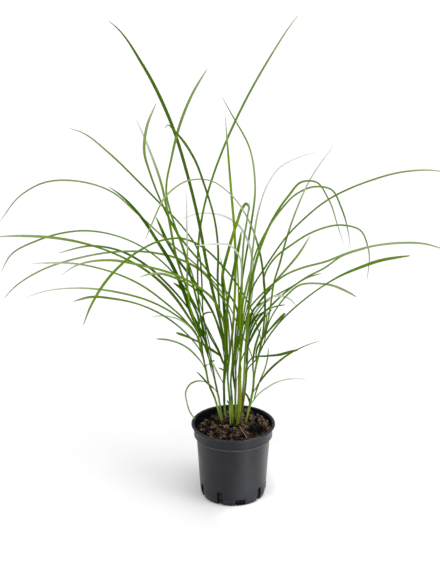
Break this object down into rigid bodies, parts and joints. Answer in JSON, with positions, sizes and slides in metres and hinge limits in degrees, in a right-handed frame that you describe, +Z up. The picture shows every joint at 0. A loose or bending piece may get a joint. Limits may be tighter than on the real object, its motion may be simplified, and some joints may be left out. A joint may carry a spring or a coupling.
{
  "type": "potted ornamental grass",
  "caption": "Clump of long arching grass leaves on upright shoots, growing in soil in a round tapered nursery pot with a rim band and drain slots.",
  "frame": {"origin": "centre of the pot's flat underside, on the surface that the pot stands on", "axes": "+Z up along the pot's axis, +Y away from the front view, +X to the right in the front view"},
  "size_m": [0.7331, 0.62, 0.7566],
  "materials": {
    "pot_plastic": "black injection-moulded polypropylene, lightly scuffed and dusty",
    "potting_soil": "moist dark peat and bark compost with paler chips and fibres",
    "leaf_green": "living grass leaf, satin, green with paler and yellower tips",
    "stem_green": "living grass sheath, satin, light green to yellow-green",
    "dry_straw": "dry pale stalk, matte"
  },
  "bodies": {
    "root": {"pot": "pot_plastic", "soil": "potting_soil", "straw": "dry_straw", "shoot_left_outer": "stem_green", "shoot_left_inner": "stem_green", "shoot_left_back": "stem_green", "shoot_middle_left": "stem_green", "shoot_middle_right": "stem_green", "shoot_yellow": "stem_green", "shoot_broad": "stem_green", "shoot_sheathed": "stem_green", "shoot_right": "stem_green", "shoot_back": "stem_green", "leaf_left_outer_loop": "leaf_green", "leaf_left_outer_low_arch": "leaf_green", "leaf_left_outer_low_long": "leaf_green", "leaf_left_outer_pale": "leaf_green", "leaf_left_outer_fan": "leaf_green", "leaf_left_outer_faint": "leaf_green", "leaf_left_outer_yellow": "leaf_green", "leaf_left_inner_right_tall": "leaf_green", "leaf_left_inner_left_flat": "leaf_green", "leaf_left_inner_left_bow": "leaf_green", "leaf_left_inner_kinked": "leaf_green", "leaf_left_inner_left_lean": "leaf_green", "leaf_left_inner_left_rise": "leaf_green", "leaf_left_inner_left_blunt": "leaf_green", "leaf_left_back_left_tall": "leaf_green", "leaf_left_back_low_blunt": "leaf_green", "leaf_left_back_left_arch": "leaf_green", "leaf_left_back_faint": "leaf_green", "leaf_left_back_left_short": "leaf_green", "leaf_middle_left_hooked": "leaf_green", "leaf_middle_left_upright": "leaf_green", "leaf_middle_left_left_front": "leaf_green", "leaf_middle_right_left_droop": "leaf_green", "leaf_yellow_front_low": "leaf_green", "leaf_yellow_left_back": "leaf_green", "leaf_yellow_right_low": "leaf_green", "leaf_yellow_right_high": "leaf_green", "leaf_yellow_inner_rise": "leaf_green", "leaf_broad_far_arch": "leaf_green", "leaf_broad_right_rise": "leaf_green", "leaf_broad_right_long": "leaf_green", "leaf_sheathed_right_flat": "leaf_green", "leaf_sheathed_right_lean": "leaf_green", "leaf_sheathed_low_right": "leaf_green", "leaf_right_long_left": "leaf_green", "leaf_right_crossing": "leaf_green", "leaf_right_pale_upright": "leaf_green", "leaf_right_left_long": "leaf_green", "leaf_right_blunt": "leaf_green", "leaf_right_low_rise": "leaf_green", "leaf_right_faint": "leaf_green", "leaf_right_right_droop": "leaf_green", "leaf_back_upper_right": "leaf_green", "leaf_back_lower_right": "leaf_green", "leaf_back_right_short": "leaf_green", "leaf_back_little_arch": "leaf_green"}
  },
  "joints": []
}
